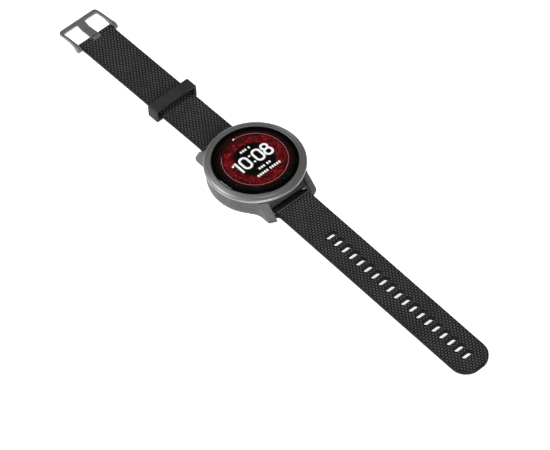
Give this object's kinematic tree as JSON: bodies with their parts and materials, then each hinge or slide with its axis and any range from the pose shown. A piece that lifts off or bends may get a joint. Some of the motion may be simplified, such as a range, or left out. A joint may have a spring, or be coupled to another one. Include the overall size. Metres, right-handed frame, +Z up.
{
  "type": "gps running watch",
  "caption": "Round GPS running watch laid flat, with a two-stepped steel bezel, side button, optical back sensor and a woven-texture silicone strap with buckle and keeper.",
  "frame": {"origin": "centre of the sensor window's flat on the back of the case", "axes": "+Y towards 12 o'clock and the buckle, +X towards 3 o'clock and the button, +Z up out of the glass"},
  "size_m": [0.0438, 0.2535, 0.0117],
  "materials": {
    "case_resin": "satin dark slate, fibre-filled resin",
    "bezel_steel": "gunmetal coating over circular brushing",
    "seal_rubber": "matt black seal",
    "cover_glass": "clear, polished",
    "screen": "lit display with a red ring",
    "inner_plastic": "moulded black",
    "contact_gold": "gold plate",
    "circuit_board": "solder mask",
    "foil_metal": "pressed sheet",
    "sensor_light": "clear lens over a green diode",
    "sensor_lens": "polished dark lens",
    "small_steel": "turned steel",
    "strap_silicone": "matt silicone with a moulded weave",
    "keeper_silicone": "smooth matt silicone",
    "buckle_steel": "satin gunmetal"
  },
  "bodies": {
    "case": {"case_body": "case_resin", "bezel": "bezel_steel", "bezel_gasket": "seal_rubber", "glass": "cover_glass", "display_panel": "screen", "display_frame": "inner_plastic", "display_flex": "contact_gold", "main_board": "circuit_board", "shield_can": "foil_metal", "gps_receiver": "inner_plastic", "gps_antenna": "contact_gold", "battery": "foil_metal", "vibration_motor": "foil_metal", "sensor_board": "circuit_board", "photodiode": "inner_plastic", "sensor_led_1": "sensor_light", "sensor_led_2": "sensor_light", "sensor_window": "sensor_lens", "rear_cover": "case_resin", "back_gasket": "seal_rubber", "case_screw_1": "small_steel", "case_screw_2": "small_steel", "case_screw_3": "small_steel", "case_screw_4": "small_steel", "charge_contact_1": "contact_gold", "charge_contact_2": "contact_gold", "charge_contact_3": "contact_gold", "charge_contact_4": "contact_gold", "button_seal": "seal_rubber", "button_dome": "small_steel", "button_switch": "inner_plastic"},
    "button": {"button_cap": "bezel_steel", "button_clip": "small_steel"},
    "long_half": {"strap_long": "strap_silicone", "long_bar_tube": "small_steel", "long_bar_spring": "small_steel"},
    "long_release": {"long_bar_plunger": "small_steel"},
    "short_half": {"strap_short": "strap_silicone", "short_bar_tube": "small_steel", "short_bar_spring": "small_steel"},
    "short_release": {"short_bar_plunger": "small_steel"},
    "keeper": {"keeper_loop": "keeper_silicone"},
    "buckle": {"buckle_frame": "buckle_steel", "buckle_bar_tube": "small_steel", "buckle_bar_spring": "small_steel"},
    "buckle_release": {"buckle_bar_plunger": "small_steel"},
    "tang": {"buckle_tang": "buckle_steel"}
  },
  "joints": [
    {"name": "button_press", "type": "slide", "parent": "case", "child": "button", "axis": [-1, 0, 0], "range_m": [0, 0.0005], "stiffness_N_per_m": 3000, "deforming": ["button_dome"]},
    {"name": "long_strap_hinge", "type": "hinge", "parent": "case", "child": "long_half", "pos_m": [0, -0.0218, 0.0033], "axis": [1, 0, 0], "range_deg": [-25, 80]},
    {"name": "long_release_slide", "type": "slide", "parent": "long_half", "child": "long_release", "axis": [-1, 0, 0], "range_m": [0, 0.0013], "stiffness_N_per_m": 500, "deforming": ["long_bar_spring"]},
    {"name": "short_strap_hinge", "type": "hinge", "parent": "case", "child": "short_half", "pos_m": [0, 0.0218, 0.0033], "axis": [-1, 0, 0], "range_deg": [-25, 80]},
    {"name": "short_release_slide", "type": "slide", "parent": "short_half", "child": "short_release", "axis": [1, 0, 0], "range_m": [0, 0.0013], "stiffness_N_per_m": 500, "deforming": ["short_bar_spring"]},
    {"name": "keeper_slide", "type": "slide", "parent": "short_half", "child": "keeper", "axis": [0, 0.9998, -0.02], "range_m": [-0.02, 0.03]},
    {"name": "buckle_hinge", "type": "hinge", "parent": "short_half", "child": "buckle", "pos_m": [0, 0.1029, 0.00228], "axis": [-1, 0, 0], "range_deg": [-45, 45]},
    {"name": "buckle_release_slide", "type": "slide", "parent": "buckle", "child": "buckle_release", "axis": [1, 0, 0], "range_m": [0, 0.0011], "stiffness_N_per_m": 500, "deforming": ["buckle_bar_spring"]},
    {"name": "tang_hinge", "type": "hinge", "parent": "buckle", "child": "tang", "pos_m": [0, 0.1029, 0.00228], "axis": [1, 0, 0], "range_deg": [0, 60]}
  ]
}
